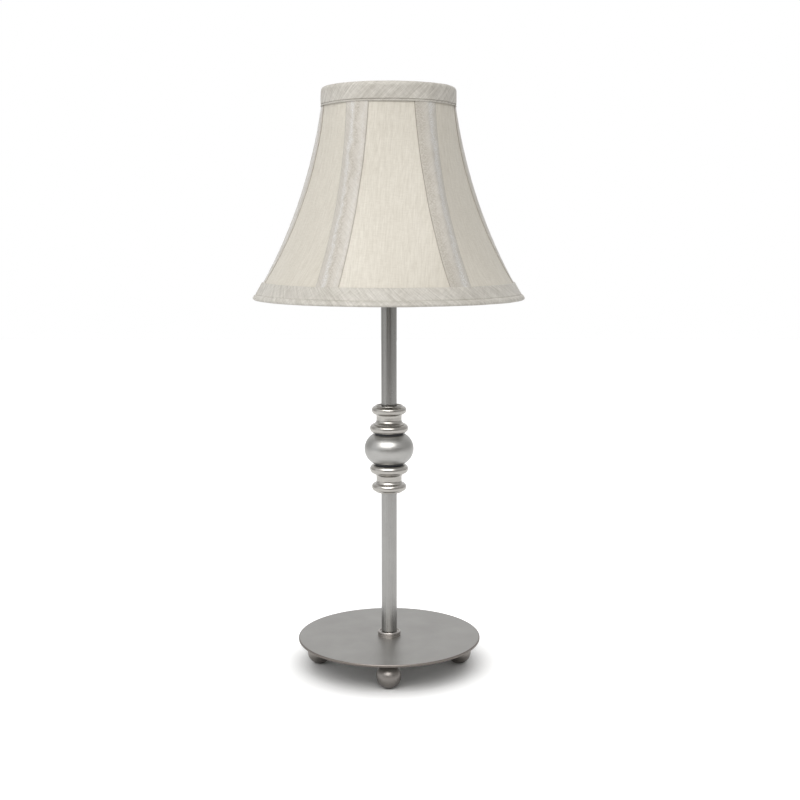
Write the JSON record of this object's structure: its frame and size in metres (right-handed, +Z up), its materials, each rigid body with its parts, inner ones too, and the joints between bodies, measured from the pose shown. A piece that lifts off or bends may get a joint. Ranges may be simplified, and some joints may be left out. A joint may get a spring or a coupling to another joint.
{
  "type": "candlestick lamp",
  "caption": "Candlestick table lamp: ball-footed disc base, turned metal stem with a ball knop, switched lampholder, candle bulb and a panelled bell shade of cloth.",
  "frame": {"origin": "on the surface that the lamp stands on, under the stem's axis", "axes": "+Z up along the stem; -Y towards the front, where one ball foot stands; +X towards the switch bar's free end"},
  "size_m": [0.2134, 0.2134, 0.468],
  "materials": {
    "satin_pewter": "satin pewter-grey plated and lacquered metal, fine brushed grain",
    "blackened_steel": "blackened spacer, matt",
    "zinc_steel": "bright zinc plate, dulled",
    "white_plastic": "moulded nylon",
    "black_plastic": "moulded phenolic, soft gloss",
    "brown_phenolic": "moulded phenolic",
    "fibre_sleeve": "pressed fibre paper",
    "plain_brass": "rolled brass",
    "nickel_plate": "nickel plated, slightly dull",
    "black_seal": "vitreous black",
    "opal_glass": "opal white glass",
    "white_wire": "white enamelled wire",
    "shade_cloth": "slubbed silk-look cloth, soft sheen",
    "bias_cloth": "the same cloth cut on the bias"
  },
  "bodies": {
    "stand": {"base_plate": "satin_pewter", "foot_front": "satin_pewter", "foot_right": "satin_pewter", "foot_back": "satin_pewter", "foot_left": "satin_pewter", "foot_studs": "zinc_steel", "base_washer": "zinc_steel", "lock_washer": "zinc_steel", "base_nut": "zinc_steel", "cord_bushing": "white_plastic", "threaded_pipe": "zinc_steel", "stem_ferrule": "satin_pewter", "lower_tube": "satin_pewter", "lower_spool": "satin_pewter", "lower_collar": "blackened_steel", "knop": "satin_pewter", "upper_collar": "blackened_steel", "upper_spool": "satin_pewter", "upper_tube": "satin_pewter", "seat_ring": "satin_pewter", "holder_cap": "black_plastic", "holder_body": "black_plastic", "insulator": "brown_phenolic", "insulating_sleeve": "fibre_sleeve", "screw_shell": "plain_brass", "centre_contact": "plain_brass", "terminal_screws": "plain_brass"},
    "switch_bar": {"push_bar": "black_plastic"},
    "clamp": {"clamp_ring": "black_plastic"},
    "bulb_rise": {"bulb_contact": "nickel_plate"},
    "bulb": {"bulb_seal": "black_seal", "bulb_cap": "nickel_plate", "bulb_glass": "opal_glass"},
    "shade": {"fitter_ring": "white_wire", "fitter_arm_1": "white_wire", "fitter_arm_2": "white_wire", "fitter_arm_3": "white_wire", "top_wire": "white_wire", "bottom_wire": "white_wire", "shade_rib_1": "white_wire", "shade_rib_2": "white_wire", "shade_rib_3": "white_wire", "shade_rib_4": "white_wire", "shade_rib_5": "white_wire", "shade_rib_6": "white_wire", "shade_panel_1": "shade_cloth", "shade_panel_2": "shade_cloth", "shade_panel_3": "shade_cloth", "shade_panel_4": "shade_cloth", "shade_panel_5": "shade_cloth", "shade_panel_6": "shade_cloth", "seam_strip_1": "bias_cloth", "seam_strip_2": "bias_cloth", "seam_strip_3": "bias_cloth", "seam_strip_4": "bias_cloth", "seam_strip_5": "bias_cloth", "seam_strip_6": "bias_cloth", "top_band": "bias_cloth", "bottom_band": "bias_cloth"}
  },
  "joints": [
    {"name": "switch_push", "type": "slide", "parent": "stand", "child": "switch_bar", "axis": [-1, 0, 0], "range_m": [0, 0.008]},
    {"name": "clamp_turn", "type": "hinge", "parent": "stand", "child": "clamp", "pos_m": [0, 0, 0.37], "axis": [0, 0, 1], "range_deg": [0, 360]},
    {"name": "bulb_lift", "type": "slide", "parent": "stand", "child": "bulb_rise", "axis": [0, 0, 1], "range_m": [0, 0.01447]},
    {"name": "bulb_turn", "type": "hinge", "parent": "bulb_rise", "child": "bulb", "pos_m": [0, 0, 0.38], "axis": [0, 0, 1], "range_deg": [0, 1440]},
    {"name": "shade_turn", "type": "hinge", "parent": "stand", "child": "shade", "pos_m": [0, 0, 0.365], "axis": [0, 0, 1], "continuous": true}
  ],
  "couplings": [
    {"joint": "bulb_turn", "follows": "bulb_lift", "rad_per_m": 1735.7}
  ]
}
